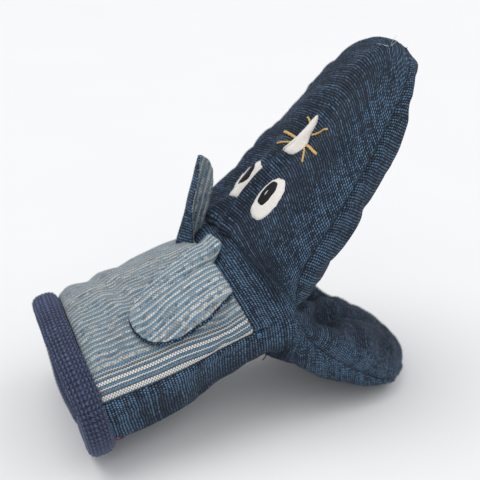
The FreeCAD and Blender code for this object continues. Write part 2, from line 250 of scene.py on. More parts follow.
def loft(wires, counts):
    """Rows of points on the smooth surface through these wires, counts[i] rows from wire i to the next."""
    wires = np.array(wires)
    gaps = np.linalg.norm(np.diff(wires, axis=0), axis=2).mean(axis=1)
    knots = np.concatenate([[0.0], np.cumsum(gaps)])
    tangents = np.gradient(wires, knots, axis=0)
    rows = []
    for i, (gap, count) in enumerate(zip(gaps, counts)):
        for q in np.arange(count) / count:
            start = (2 * q**3 - 3 * q**2 + 1) * wires[i] + (q**3 - 2 * q**2 + q) * gap * tangents[i]
            end = (3 * q**2 - 2 * q**3) * wires[i + 1] + (q**3 - q**2) * gap * tangents[i + 1]
            rows.append(start + end)
    rows.append(wires[-1])
    return np.array(rows)


def run_along(points, axis):
    """Distance walked along the points, row by row or column by column."""
    steps = np.linalg.norm(np.diff(points, axis=axis), axis=-1)
    return np.insert(np.cumsum(steps, axis=axis), 0, 0.0, axis=axis)


def unit(vectors):
    return vectors / (np.linalg.norm(vectors, axis=-1, keepdims=True) + TINY)


def grid_normals(points, flip):
    normal = unit(np.cross(np.gradient(points, axis=0), np.gradient(points, axis=1)))
    return -normal if flip else normal


def grid_faces(rows, columns, flip):
    i, j = np.meshgrid(np.arange(rows - 1), np.arange(columns - 1), indexing="ij")
    a = (i * columns + j).ravel()
    quad = np.stack([a, a + columns, a + columns + 1, a + 1], axis=1)
    return quad[:, ::-1] if flip else quad


def ring_faces(rings, sides):
    """Faces of a tube of rings, each of this many points."""
    i, j = np.meshgrid(np.arange(rings - 1) * sides, np.arange(sides), indexing="ij")
    a, b = (i + j).ravel(), (i + (j + 1) % sides).ravel()
    return np.stack([a, b, b + sides, a + sides], axis=1)


def noise_at(points, scale, seed):
    """Smooth noise, about -1 to 1, at points in millimetres; scale is its grain's size."""
    flat = points.reshape(-1, 3) / scale + seed
    return np.array([noise.noise(p) for p in flat]).reshape(points.shape[:-1])


class Skin:
    """One piece of cloth as a grid of points, with the distances that its weave follows."""

    def __init__(self, points, flip, cap=0.0):
        self.points = points
        self.flip = flip
        self.cap = cap
        self.rib = run_along(points, 0)
        self.run = run_along(points, 1)
        self.pinned = np.zeros(points.shape[:2], bool)
        self.pinned[0] = self.pinned[-1] = True
        self.pinned[:, 0] = self.pinned[:, -1] = True
        ahead, aside = self.rib[-1:] - self.rib, self.run[:, -1:] - self.run
        self.edge = np.minimum.reduce([self.run, aside, self.rib, ahead])

    def normals(self):
        return grid_normals(self.points, self.flip)

    def faces(self):
        return grid_faces(*self.points.shape[:2], self.flip)

    def raise_by(self, height):
        self.points = self.points + self.normals() * height[..., None]


def build_skins():
    """The five pieces of cloth between the seams: grid, whether its outside is turned round, cap."""
    x, z, _, half_width, _, seam = SLEEVE[-1]
    throat = (x, z, THROAT[0], half_width, THROAT[1], seam)
    under_sleeve = [sleeve_wire(row, False) for row in SLEEVE[:-1] + [throat]]
    under_jaw = [limb_wire(row, JAW_AXIS, JAW_ROUNDNESS, False) for row in JAW]
    under_jaw[0] = limb_wire(JAW[0], JAW_AXIS, JAW_ROUNDNESS, False, JAW_FAN)
    chin = tip_wire(JAW[-1], JAW_AXIS)
    under = loft(under_sleeve + under_jaw + [chin], SLEEVE_ROWS + (THROAT_ROWS,) + JAW_ROWS)
    neck, fold = sum(SLEEVE_ROWS), sum(SLEEVE_ROWS) + THROAT_ROWS
    front = loft([sleeve_wire(row, True) for row in SLEEVE], SLEEVE_ROWS)
    corner = limb_wire(HEAD[0], HEAD_AXIS, HEAD_ROUNDNESS, True, HEAD_FAN)
    over = [limb_wire(row, HEAD_AXIS, HEAD_ROUNDNESS, True) for row in HEAD[1:]]
    nose = tip_wire(HEAD[-1], HEAD_AXIS)
    head = loft([front[-1], corner] + over + [nose], (THROAT_ROWS,) + HEAD_ROWS)
    fold_line = np.linspace(corner[0], corner[-1], COLUMNS)
    palate = [limb_wire(row, HEAD_AXIS, HEAD_ROUNDNESS, False) for row in HEAD[1:]]
    upper = loft([fold_line] + palate + [nose], HEAD_ROWS)
    tongue = [limb_wire(row, JAW_AXIS, JAW_ROUNDNESS, True) for row in JAW[1:]]
    lower = loft([fold_line] + tongue + [chin], JAW_ROWS)
    for side in (0, -1):
        front[:, side] = under[:neck + 1, side]
        head[:THROAT_ROWS + 1, side] = under[neck:fold + 1, side]
        upper[:, side] = head[THROAT_ROWS:, side]
        lower[:, side] = under[fold:, side]
    return {
        "front": Skin(front, False, 2.4),
        "under": Skin(under, True, 3.4),
        "head": Skin(head, False, 2.6),
        "upper": Skin(upper, True, 2.6),
        "lower": Skin(lower, False, 3.0),
    }


# --- cloth simulation --------------------------------------------------------------------------
def new_object(name, points, faces):
    mesh = bpy.data.meshes.new(name)
    mesh.from_pydata((points.reshape(-1, 3) * MM).tolist(), [], [tuple(int(k) for k in f) for f in faces])
    obj = bpy.data.objects.new(name, mesh)
    bpy.context.scene.collection.objects.link(obj)
    return obj, mesh


def simulate(rest, faces, pinned):
    """Blows the sewn cloth up from inside with its seams held, and gives each point's movement."""
    obj, mesh = new_object("cloth_rest", rest, faces)
    group = obj.vertex_groups.new(name="seams")
    group.add([int(i) for i in np.nonzero(pinned)[0]], 1.0, "REPLACE")
    cloth = obj.modifiers.new("cloth", "CLOTH")
    settings = cloth.settings
    settings.quality = 6
    settings.mass = 0.2
    settings.tension_stiffness = settings.compression_stiffness = 12.0
    settings.shear_stiffness = 4.0
    settings.bending_stiffness = 0.6
    settings.air_damping = 3.0
    settings.vertex_group_mass = "seams"
    settings.use_pressure = True
    settings.uniform_pressure_force = PRESSURE
    settings.shrink_min = -SLACK
    settings.effector_weights.gravity = 0.0
    cloth.collision_settings.use_collision = False
    scene = bpy.context.scene
    cloth.point_cache.frame_start = 1
    cloth.point_cache.frame_end = SIM_FRAMES
    for number in range(1, SIM_FRAMES + 1):
        scene.frame_set(number)
    evaluated = obj.evaluated_get(bpy.context.evaluated_depsgraph_get())
    moved = np.zeros(len(rest) * 3, np.float32)
    evaluated.data.vertices.foreach_get("co", moved)
    bpy.data.objects.remove(obj)
    bpy.data.meshes.remove(mesh)
    scene.frame_set(1)
    return moved.reshape(-1, 3) / MM - rest


def stuff(skins):
    """Pads the cloth, each skin by no more than its cap, and presses the seams in."""
    order = list(skins.values())
    rest = np.concatenate([skin.points.reshape(-1, 3) for skin in order])
    rest, index = np.unique(np.round(rest, 3), axis=0, return_inverse=True)
    index = index.ravel()
    starts = np.concatenate([[0], np.cumsum([skin.points[..., 0].size for skin in order])])
    maps = [index[a:b].reshape(skin.points.shape[:2]) for a, b, skin in zip(starts, starts[1:], order)]
    faces = np.concatenate([m.ravel()[skin.faces()] for m, skin in zip(maps, order)])
    faces = np.array([f for f in faces if len(set(f)) == 4])
    pinned = np.zeros(len(rest), bool)
    normal = np.zeros_like(rest)
    for m, skin in zip(maps, order):
        pinned[m[skin.pinned]] = True
        np.add.at(normal, m.ravel(), skin.normals().reshape(-1, 3))
    normal = unit(normal)
    moved = simulate(rest, faces, pinned)
    for m, skin in zip(maps, order):
        soft = smoothstep(skin.edge, 0.0, 9.0)[..., None]
        if moved is None:
            shift = skin.normals() * skin.cap * 0.7 * soft
        else:
            shift = moved[m]
            length = np.linalg.norm(shift, axis=2, keepdims=True)
            shift = unit(shift) * skin.cap * np.tanh(length / skin.cap) * np.minimum(1.0, soft + 0.15)
        skin.points = skin.points + np.where(skin.pinned[..., None], 0.0, shift)
        skin.points = skin.points - normal[m] * SEAM_DEPTH * skin.pinned[..., None]


def rumple(skins):
    """The folds that the padding alone doesn't give, and the table that keeps the cloth up."""
    for seed, skin in enumerate(skins.values()):
        soft = smoothstep(skin.edge, 0.0, 7.0)
        broad = noise_at(skin.points, 26.0, 3.7 + seed)
        fine = noise_at(skin.points, 9.0, 11.3 + seed)
        pucker = np.sin(2 * math.pi * skin.rib / PUCKER_PITCH + 3.0 * noise_at(skin.points, 15.0, 5.1))
        pucker *= bell(skin.edge, 3.5, 3.0) * PUCKER
        skin.raise_by((broad * 0.9 + fine * 0.35) * soft + pucker * smoothstep(skin.edge, 0.0, 2.0))
    ridge_centre_line(skins["head"])
    sag_mouth(skins["lower"])
    crease_front(skins["front"])
    for skin in skins.values():
        skin.points[..., 2] = np.maximum(skin.points[..., 2], FLOOR_GAP)


def relief(folds, along, offset):
    """The sum of these folds, each running aslant across the middle line."""
    height = np.zeros_like(along)
    for rise, place, length, side, width, slant in folds:
        height += rise * bell(along, place, length) * bell(offset - slant * (along - place), side, width)
    return height


def ridge_centre_line(head):
    """A soft fold stands along the middle of the head; the left eye sits low behind it."""
    local = head.points - HINGE
    along = local @ direction(HEAD_AXIS)
    offset = local[..., 1] - RIDGE
    nape = NAPE_BULGE * bell(along, 12.0, 13.0) * smoothstep(offset, -6.0, 16.0)
    height = relief(NOSE_DIPS, along, offset) + nape * smoothstep(head.edge, 0.0, 14.0)
    for folds, rise, fall in ((CREST, (0.0, 22.0), (88.0, 112.0)), (EYE_HOLLOW, (8.0, 26.0), (56.0, 80.0)),
                              (NOSE_RIDGE, (100.0, 118.0), (130.0, 143.0))):
        height += relief(folds, along, offset) * smoothstep(along, *rise) * (1 - smoothstep(along, *fall))
    head.raise_by(height)


def sag_mouth(lower):
    """The empty thumb pocket sinks into a hollow behind folds that run in from the corner of the mouth."""
    local = lower.points - HINGE
    along = local @ direction(JAW_AXIS)
    offset = local[..., 1]
    chin = 1.6 * bell(along - 0.35 * (offset + 30.0), 82.0, 5.0) * bell(offset, -20.0, 16.0)
    soft = smoothstep(lower.edge, 0.0, 5.0) * smoothstep(along, 0.0, 10.0)
    lower.raise_by((relief(MOUTH_FOLDS, along, offset) + chin) * soft)


def crease_front(front):
    """Wrinkles between the cuff and the ear, and the crease under the ear's lower edge."""
    x, y = front.points[..., 0], front.points[..., 1]
    wave = np.sin((x * 0.9 + y * 0.35) / 3.1 + 2.2 * noise_at(front.points, 20.0, 8.0))
    band = bell(x, 14.0, 15.0) * smoothstep(front.edge, 2.0, 10.0)
    pinch = bell(x * 0.55 + y, -14.0, 3.2) * smoothstep(x, 50.0, 60.0)
    front.raise_by(WRINKLE * wave * band - PINCH * pinch * smoothstep(front.edge, 0.0, 6.0))


# --- materials ---------------------------------------------------------------------------------
# Look, material, dark and light colour, pitch of the threads, sheen, roughness, slot.
THREADS = [
    ("black", "black_embroidery", (0.001, 0.001, 0.0015), (0.012, 0.012, 0.015), 0.8, 0.0, 0.6,
     "black_embroidery"),
    ("gold", "gold_thread", (0.5, 0.27, 0.05), (0.86, 0.6, 0.2), 0.9, 0.2, 0.45, "gold_thread"),
    ("pale", "pale_thread", (0.4, 0.44, 0.5), (0.75, 0.78, 0.82), 0.6, 0.2, 0.5, "pale_thread"),
    ("red", "red_thread", (0.25, 0.02, 0.03), (0.6, 0.08, 0.1), 0.6, 0.2, 0.5, "red_thread"),
    ("dark_thread", "dark_thread", (0.006, 0.008, 0.014), (0.03, 0.04, 0.065), 0.6, 0.2, 0.5,
     "dark_thread"),
    ("blue_thread", "blue_thread", (0.03, 0.1, 0.22), (0.09, 0.27, 0.5), 0.7, 0.2, 0.5, "pale_thread"),
]


class Graph:
    """A material's nodes, written as nested calls."""

    def __init__(self, name, roughness, sheen=0.0, sheen_tint=(1.0, 1.0, 1.0, 1.0)):
        self.material = bpy.data.materials.new(name)
        self.material.use_nodes = True
        self.tree = self.material.node_tree
        self.shader = self.tree.nodes["Principled BSDF"]
        self.shader.inputs["Roughness"].default_value = roughness
        self.shader.inputs["Specular IOR Level"].default_value = 0.25
        self.shader.inputs["Sheen Weight"].default_value = sheen
        self.shader.inputs["Sheen Roughness"].default_value = 0.5
        self.shader.inputs["Sheen Tint"].default_value = sheen_tint

    def node(self, kind, inputs, output=0, **settings):
        node = self.tree.nodes.new(kind)
        for key, value in settings.items():
            setattr(node, key, value)
        for key, value in inputs.items():
            self.set(node.inputs[key], value)
        return node.outputs[output]

    def set(self, socket, value):
        if isinstance(value, bpy.types.NodeSocket):
            self.tree.links.new(value, socket)
        else:
            socket.default_value = value

    def value(self, name):
        return self.node("ShaderNodeAttribute", {}, "Fac", attribute_name=name)

    def calc(self, operation, a, b=0.0, c=0.0):
        return self.node("ShaderNodeMath", {0: a, 1: b, 2: c}, operation=operation)

    def times(self, a, b):
        return self.calc("MULTIPLY", a, b)

    def line(self, value, slope, start):
        return self.calc("MULTIPLY_ADD", value, slope, start)

    def clamp(self, value):
        return self.node("ShaderNodeClamp", {"Value": value})

    def ranged(self, value, low, high, at_low, at_high):
        return self.node("ShaderNodeMapRange", {0: value, 1: low, 2: high, 3: at_low, 4: at_high})

    def noise(self, vector, scale, detail=2.0):
        return self.node("ShaderNodeTexNoise", {"Vector": vector, "Scale": scale, "Detail": detail}, "Fac")

    def pair(self, x, y):
        return self.node("ShaderNodeCombineXYZ", {0: x, 1: y})

    def between(self, share, a, b):
        """The number this share of the way from a to b."""
        mixed = self.mix(share, self.pair(a, 0.0), self.pair(b, 0.0))
        return self.node("ShaderNodeSeparateXYZ", {"Vector": mixed}, "X")

    def streaks(self, x, narrow, y, long, detail):
        """Noise drawn out, its grain 1 / narrow wide and 1 / long long."""
        return self.noise(self.pair(self.times(x, narrow), self.times(y, long)), 1.0, detail)

    def object_point(self):
        return self.node("ShaderNodeTexCoord", {}, "Object")

    def random(self, value):
        return self.node("ShaderNodeTexWhiteNoise", {"W": value}, "Value", noise_dimensions="1D")

    def mix(self, share, a, b, blend="MIX"):
        node = self.tree.nodes.new("ShaderNodeMix")
        node.data_type = "RGBA"
        node.blend_type = blend
        self.set(node.inputs[0], share)
        self.set(node.inputs[6], a)
        self.set(node.inputs[7], b)
        return node.outputs[2]

    def ramp(self, value, stops, constant=False):
        node = self.tree.nodes.new("ShaderNodeValToRGB")
        ramp = node.color_ramp
        ramp.interpolation = "CONSTANT" if constant else "LINEAR"
        while len(ramp.elements) < len(stops):
            ramp.elements.new(0.5)
        for element, (place, colour) in zip(ramp.elements, stops):
            element.position = place
            element.color = (*colour, 1.0)
        self.set(node.inputs[0], value)
        return node.outputs[0]

    def wave(self, value, pitch):
        """0 to 1 and back over one pitch."""
        return self.line(self.calc("COSINE", self.times(value, 2 * math.pi / pitch)), 0.5, 0.5)

    def finish(self, colour, height, strength, distance):
        self.set(self.shader.inputs["Base Color"], colour)
        bump = self.node("ShaderNodeBump", {"Height": height, "Strength": strength, "Distance": distance})
        self.set(self.shader.inputs["Normal"], bump)
        return self.material


def dark_weave(name, bright=1.0, grey=0.0):
    """Blue dots in rows between near-black ribs, with some rows darker, and a soft grey bloom that is
    painted sheen: lit fuzz in streaks along the rib tops.
    """
    g = Graph(name, 0.92, 0.04 + 0.15 * grey, (0.6, 0.72, 0.95, 1.0))
    run, edge, point = g.value("run"), g.value("edge"), g.object_point()
    rib = g.line(g.noise(point, 140.0), 1.1, g.value("rib"))
    row = g.calc("FLOOR", g.line(rib, 1.0 / RIB, 0.5))
    ridge = g.wave(rib, RIB)
    shifted = g.line(g.random(row), DOT, run)
    even = g.ranged(edge, 5.0, 26.0, 0.0, 0.65)
    dots = g.between(even, g.wave(shifted, DOT), 0.55)
    cell = g.calc("FLOOR", g.line(shifted, 1.0 / DOT, 0.5))
    speck = g.node("ShaderNodeTexWhiteNoise", {"Vector": g.pair(row, cell)}, "Value", noise_dimensions="2D")
    yarn = g.streaks(rib, 1.3, run, 0.35, 4.0)
    amount = g.times(g.calc("POWER", ridge, 1.1), g.line(g.calc("POWER", dots, 1.4), 0.94, 0.06))
    for share in (
        g.line(speck, 1.2, 0.3),
        g.ranged(edge, 2.0, 20.0, 1.35, 0.62),
        g.line(g.random(g.calc("ADD", row, 0.5)), 0.8, 0.45),
        g.line(yarn, 1.7, 0.1),
        g.line(g.noise(point, 55.0, 4.0), 1.5, 0.25),
    ):
        amount = g.times(amount, share)
    dark, middle, light = (tuple(c * bright for c in colour) for colour in WEAVE_COLOURS)
    colour = g.ramp(amount, [(0.0, dark), (0.13, middle), (0.62, light)])
    # Painted sheen: grey streaks of lit fuzz, strongest on the rib tops; grey raises both this painted
    # sheen and the shader's sheen.
    sheen_bloom = g.line(g.streaks(rib, 2.2, run, 0.5, 3.0), 1.5 + grey, -0.42)
    sheen_bloom = g.times(sheen_bloom, g.line(ridge, 0.85, 0.15))
    colour = g.mix(g.clamp(sheen_bloom), colour, PAINTED_SHEEN_COLOUR)
    return g.finish(colour, g.line(dots, 0.4, ridge), 0.7, 0.00045)


def striped_weave(name, crisp):
    """Slubby pin stripes in salt-and-pepper rows, regular ones within the crisp width beside the seam."""
    g = Graph(name, 0.92, 0.12)
    rib, run, point = g.value("rib"), g.value("run"), g.object_point()
    near = g.calc("LESS_THAN", run, crisp)
    wander = g.line(g.noise(point, 55.0), 3.2 if crisp else 0.8, run)
    across = g.between(near, wander, run)
    row = g.calc("FLOOR", g.calc("DIVIDE", across, STRIPE_ROW))
    blue, deep, slate = (0.1, 0.25, 0.38), (0.05, 0.12, 0.19), (0.14, 0.18, 0.2)
    pale, sand, steel = (0.62, 0.64, 0.63), (0.36, 0.36, 0.34), (0.24, 0.33, 0.39)
    cream, bright, black = (0.8, 0.79, 0.75), (0.95, 0.94, 0.9), (0.02, 0.03, 0.05)
    number = g.calc("ADD", row, 300.0)
    kind = g.calc("MODULO", number, 3.0)
    dash = g.streaks(row, 1.7, rib, 0.12, 3.0)
    lot = g.calc("FRACT", g.line(dash, 1.5, g.random(row)))
    cool = g.ramp(lot, [(0.0, blue), (0.5, deep), (0.65, steel), (0.8, blue)], True)
    warm = g.ramp(lot, [(0.0, pale), (0.3, cream), (0.5, sand), (0.64, pale)], True)
    plain = g.ramp(lot, [(0.0, steel), (0.35, slate), (0.6, pale), (0.75, sand), (0.9, deep)], True)
    colour = g.mix(g.calc("GREATER_THAN", kind, 0.5), cool, warm)
    colour = g.mix(g.calc("GREATER_THAN", kind, 1.5), colour, plain)
    worn = g.line(g.streaks(across, 1.1, rib, 0.1, 4.0), 1.1, -0.25)
    pepper = 0.62
    if crisp:
        edge = [(0.0, blue), (0.06, bright), (0.23, black), (0.27, blue), (0.35, deep),
                (0.39, bright), (0.43, blue), (0.51, deep), (0.54, bright), (0.65, deep), (0.69, blue),
                (0.75, bright), (0.79, slate), (0.87, pale), (0.92, blue)]
        colour = g.mix(near, colour, g.ramp(g.calc("DIVIDE", run, crisp), edge, True))
        pepper = g.line(near, 0.36, 0.6)
        worn = g.times(worn, g.line(near, -0.8, 1.0))
    else:
        worn = g.times(worn, 0.45)
    checker = g.line(g.calc("MODULO", number, 2.0), GRAIN / 2, rib)
    grains = g.calc("SUBTRACT", 1.0, g.calc("POWER", g.wave(checker, GRAIN), 0.7))
    colour = g.mix(worn, colour, (0.19, 0.23, 0.25, 1.0))
    if not crisp:
        colour = g.mix(1.0, colour, (1.08, 1.08, 1.08, 1.0), "MULTIPLY")
    colour = g.mix(g.times(grains, pepper), colour, (0.025, 0.03, 0.04, 1.0))
    colour = g.mix(g.line(g.noise(point, 700.0, 3.0), 0.7, -0.22), colour, (0.34, 0.35, 0.34, 1.0))
    return g.finish(colour, g.line(g.wave(across, STRIPE_ROW), 0.6, g.times(grains, -0.6)), 0.55, 0.00035)


def knit():
    g = Graph("binding_knit", 0.95, 0.25, (0.6, 0.66, 0.9, 1.0))
    stitch, point = g.value("knit"), g.object_point()
    stops = [(0.0, (0.003, 0.004, 0.008)), (0.4, (0.026, 0.033, 0.066)), (1.0, (0.15, 0.19, 0.34))]
    mottle = g.times(g.noise(point, 300.0, 4.0), 0.5)
    colour = g.mix(mottle, g.ramp(stitch, stops), (0.056, 0.071, 0.128, 1.0))
    dark = g.clamp(g.line(g.noise(point, 700.0), 2.4, -0.95))
    colour = g.mix(g.times(dark, 0.75), colour, (0.006, 0.007, 0.012, 1.0))
    return g.finish(colour, g.line(g.noise(point, 1500.0, 3.0), 0.6, stitch), 0.6, 0.0006)


def felt():
    g = Graph("white_felt", 0.95, 0.35)
    point = g.object_point()
    fibres, clumps = g.noise(point, 1400.0, 5.0), g.noise(point, 260.0, 3.0)
    colour = g.mix(clumps, (0.76, 0.73, 0.68, 1.0), (0.9, 0.88, 0.84, 1.0))
    colour = g.mix(g.times(fibres, 0.35), colour, (0.6, 0.56, 0.5, 1.0))
    return g.finish(colour, g.line(clumps, 1.4, fibres), 0.6, 0.0004)


def satin(name, dark, light, pitch, sheen, roughness):
    """Parallel threads laid side by side, across the direction of the run attribute."""
    g = Graph(name, roughness, sheen)
    fibre = g.noise(g.object_point(), 1100.0, 3.0)
    share = g.line(g.wave(g.value("run"), pitch), 0.7, g.times(fibre, 0.3))
    return g.finish(g.ramp(share, [(0.0, dark), (1.0, light)]), share, 0.6, 0.00025)


def plain_cotton(name, dark, light):
    g = Graph(name, 0.95, 0.15)
    weave = g.times(g.wave(g.value("rib"), 0.8), g.wave(g.value("run"), 0.8))
    share = g.line(weave, 0.6, g.times(g.noise(g.object_point(), 60.0, 4.0), 0.6))
    return g.finish(g.ramp(share, [(0.0, dark), (1.0, light)]), weave, 0.4, 0.0003)


def paper_floor():
    g = Graph("pale_floor", 0.8)
    grain = g.noise(g.object_point(), 6.0)
    colour = g.mix(grain, (0.83, 0.83, 0.835, 1.0), (0.86, 0.86, 0.86, 1.0))
    return g.finish(colour, grain, 0.02, 0.001)


def looks():
    """Each look's material and the slot that it fills."""
    found = {
        "dark": (dark_weave("dark_cloth", 1.14), "dark_cloth"),
        # The mouth's and the tongue's copies of the same dark cloth are darker (0.95 against 1.14): painted
        # shade of the inside of the mouth.
        "mouth": (dark_weave("dark_cloth_mouth_shaded", 0.95, 0.04), "dark_cloth"),
        "tongue": (dark_weave("dark_cloth_tongue_shaded", 0.95, 0.08), "dark_cloth"),
        "stripes": (striped_weave("striped_cloth", 16.0), "striped_cloth"),
        "ear_stripes": (striped_weave("striped_cloth_ear", 0.0), "striped_cloth"),
        "knit": (knit(), "binding_knit"),
        "felt": (felt(), "white_felt"),
        "lining": (plain_cotton("lining_cloth", (0.02, 0.027, 0.042), (0.07, 0.085, 0.12)), "lining_cloth"),
        "floor": (paper_floor(), "lining_cloth"),
    }
    for look, name, dark, light, pitch, sheen, roughness, slot in THREADS:
        found[look] = (satin(name, dark, light, pitch, sheen, roughness), slot)
    # The nose slit takes the black satin, darker than the seam thread: partly a dark thread, partly painted
    # shade inside the slit.
    found["slit"] = (found["black"][0], "dark_thread")
    return found


# --- mesh pieces -------------------------------------------------------------------------------
LOOKS = looks()
THREAD_PLIES, THREAD_TWIST = 3, 1.6
THREAD_SIDES, THREAD_STEP = 9, 0.35         # points round a thread, distance between its rings
THREAD_GUIDE = np.array([0.31, 0.17, 0.93])  # a direction that no thread runs in
SUNK = 0.35                 # how far a sewn-on piece reaches into the cloth


def make_mesh(name, points, faces, look, values=None, smooth=True):
    material, slot = LOOKS[look]
    obj, mesh = new_object(name, points, faces)
    for key, data in (values or {}).items():
        layer = mesh.attributes.new(key, "FLOAT", "POINT")
        layer.data.foreach_set("value", np.asarray(data, np.float32).ravel())
    mesh.materials.append(material)
    mesh.shade_smooth() if smooth else mesh.shade_flat()
    return obj


def cloth_sheet(name, skin, look, thickness=CLOTH):
    values = {"rib": skin.rib, "run": skin.run, "edge": skin.edge}
    obj = make_mesh(name, skin.points, skin.faces(), look, values)
    smoother = obj.modifiers.new("smooth", "SUBSURF")
    smoother.levels = smoother.render_levels = 1
    solid = obj.modifiers.new("thickness", "SOLIDIFY")
    solid.thickness = thickness * MM
    solid.offset = -1.0
    return obj


def follow(obj, body, *nodes):
    """Rides on the sleeve, or for the head, the jaw or an ear only has its transform baked in; hides these
    nodes, whose place it takes.
    """
    if body == SLEEVE_BODY:
        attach(obj, SLEEVE_BODY)
    else:
        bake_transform(obj)
    if nodes:
        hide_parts(*nodes)


def twisted_tube(paths, radii):
    """Points, faces and run values of threads with a twisted surface, one along each path."""
    points, faces, run = [], [], []
    turn = np.linspace(0.0, 2 * math.pi, THREAD_SIDES, endpoint=False)
    start = 0
    for path, radius in zip(paths, np.broadcast_to(radii, len(paths))):
        path = np.asarray(path, float)
        length = run_along(path, 0)[-1]
        count = max(4, int(length / THREAD_STEP))
        path = evenly(path, count)
        tangent = unit(np.gradient(path, axis=0))
        side = unit(np.cross(tangent, THREAD_GUIDE))
        up = np.cross(side, tangent)
        at = np.linspace(0.0, length, count)
        ends = np.clip(np.minimum(at, length - at) / radius, 0.15, 1.0) ** 0.5
        lobes = 1.0 + 0.16 * np.cos(THREAD_PLIES * (turn[None, :] - at[:, None] / radius / THREAD_TWIST))
        reach = (radius * lobes * ends[:, None])[..., None]
        round_path = np.cos(turn)[None, :, None] * side[:, None] + np.sin(turn)[None, :, None] * up[:, None]
        points.append((path[:, None] + reach * round_path).reshape(-1, 3))
        run.append(np.repeat(at, THREAD_SIDES))
        last = start + (count - 1) * THREAD_SIDES
        faces += list(start + ring_faces(count, THREAD_SIDES))
        faces.append(range(start + THREAD_SIDES - 1, start - 1, -1))
        faces.append(range(last, last + THREAD_SIDES))
        start = last + THREAD_SIDES
    return np.concatenate(points), faces, np.concatenate(run)


def thread_piece(name, paths, radii, look, body, *nodes):
    points, faces, run = twisted_tube(paths, radii)
    obj = make_mesh(name, points, faces, look, {"run": run, "rib": run})
    follow(obj, body, *nodes)


def stitches_along(line, lift, length=2.4, gap=0.9, dip=0.35):
    """Short stitches along a seam, each diving into the cloth at its ends."""
    run = run_along(line, 0)
    paths = []
    at = gap
    while at + length < run[-1]:
        here = np.linspace(at, at + length, 6)
        arch = np.sin(np.linspace(0.0, math.pi, 6))[:, None] * dip
        paths.append(at_run(line, run, here) + at_run(lift, run, here) * arch)
        at += length + gap
    return paths


class Surface:
    """Looks up points on finished pieces of cloth, from the direction a piece is sewn on from."""

    def __init__(self, *skins):
        vertices, faces = [], []
        for skin in skins:
            faces += (skin.faces() + len(vertices)).tolist()
            vertices += skin.points.reshape(-1, 3).tolist()
        self.tree = BVHTree.FromPolygons(vertices, faces)

    def drop(self, start, heading):
        found = self.tree.ray_cast(Vector(start), Vector(heading), RAY_REACH)
        if found[0] is None:
            found = self.tree.find_nearest(Vector(start))
        return np.array(found[0]), np.array(found[1])


def head_point(surface, distance, offset):
    up = direction(HEAD_AXIS + 90)
    point, normal = surface.drop(on_limb(HEAD_AXIS, distance, 1.5 * OUTSIDE, offset), -up)
    return point, normal if normal @ up > 0 else -normal


def pillow(name, surface, outline, height, lift, look, node, rings=7):
    """A piece of felt or satin stitch: an outline on the head, raised in the middle."""
    outline = np.array(outline)
    centre = outline.mean(axis=0)
    count = len(outline)
    top, low, run = [], [], []
    for ring in range(rings + 1):
        share = ring / rings
        for spot in centre + (outline - centre) * share:
            point, normal = head_point(surface, *spot)
            top.append(point + normal * (lift + height * (1 - share**5) ** 0.5))
            low.append(point + normal * (lift - SUNK))
            run.append(spot[0])
    shift = len(top)
    sheet = ring_faces(rings + 1, count)
    j = np.arange(count) + rings * count
    k = np.roll(j, -1)
    rim = np.stack([j, shift + j, shift + k, k], axis=1)
    faces = np.concatenate([sheet[:, ::-1], shift + sheet, rim])
    obj = make_mesh(name, np.array(top + low), faces, look, {"run": run + run, "rib": run + run})
    follow(obj, HEAD_BODY, node)


def ragged(points, amount, seed):
    """Moves an outline in and out a little, as scissors leave it."""
    points = np.array(points, float)
    centre = points.mean(axis=0)
    wobble = [1 + amount * noise.noise(Vector((p[0] * 0.3 + seed, p[1] * 0.3, seed))) for p in points]
    return centre + (points - centre) * np.array(wobble)[:, None]


def leaf_outline(centre, size, power, count=44):
    t = np.linspace(0, 2 * math.pi, count, endpoint=False)
    leaf = np.stack([rounded(np.cos(t), 0.82), rounded(np.sin(t), power)], axis=1)
    return leaf * size / 2 + centre


def blaze_outline(count=28):
    """A carrot shape: blunt towards the neck and drawn out to a point towards the nose."""
    shares, halves = np.array(BLAZE_EDGE).T
    s = (1 - np.cos(np.linspace(0, math.pi, count))) / 2
    half = np.interp(s, shares, halves)
    along = BLAZE[0] + BLAZE[1] * s
    side = np.stack([along, half], axis=1)
    return np.concatenate([side, side[::-1] * (1.0, -1.0)]) + (0.0, RIDGE)


def build_face(surface):
    for name, side in (("right", -1.0), ("left", 1.0)):
        eye = (EYE_CENTRE[0], EYE_CENTRE[1] * side - (1 + side) * EYE_SHIFT)
        white = ragged(leaf_outline(eye, EYE_SIZE, 0.92), 0.09, side * 3.1)
        pillow("eye_felt_" + name, surface, white, 0.75, 0.0, "felt", "eye_white_" + name)
        pupil = (eye[0] + PUPIL_SHIFT[0], eye[1] + PUPIL_SHIFT[1])
        black = ragged(leaf_outline(pupil, PUPIL_SIZE, 0.9), 0.09, side * 5.3)
        pillow("pupil_satin_" + name, surface, black, 0.6, 0.72, "black", "pupil_" + name)
        glint = leaf_outline((pupil[0] - 0.2, pupil[1]), GLINT_SIZE, 1.0, 20)
        pillow("glint_stitch_" + name, surface, glint, 0.35, 1.25, "pale", "eye_glint_" + name, 3)
    pillow("blaze_felt", surface, ragged(blaze_outline(), 0.08, 7.7), 0.8, 0.0, "felt", "blaze")
    share = np.linspace(0.0, 1.0, 14)
    for name, side in (("right", -1.0), ("left", 1.0)):
        paths = []
        for start, end, radius, bow in WHISKERS:
            distance = start[0] + (end[0] - start[0]) * share + bow * np.sin(math.pi * share)
            offset = (start[1] + (end[1] - start[1]) * share) * side + RIDGE
            path = []
            for d, o, s in zip(distance, offset, share):
                point, normal = head_point(surface, d, o)
                path.append(point + normal * (radius * 0.7 - 0.5 * (2 * s - 1) ** 8))
            paths.append(path)
        radii = [radius for _, _, radius, _ in WHISKERS]
        thread_piece("whiskers_gold_" + name, paths, radii, "gold", HEAD_BODY, "whisker_stitches_" + name)


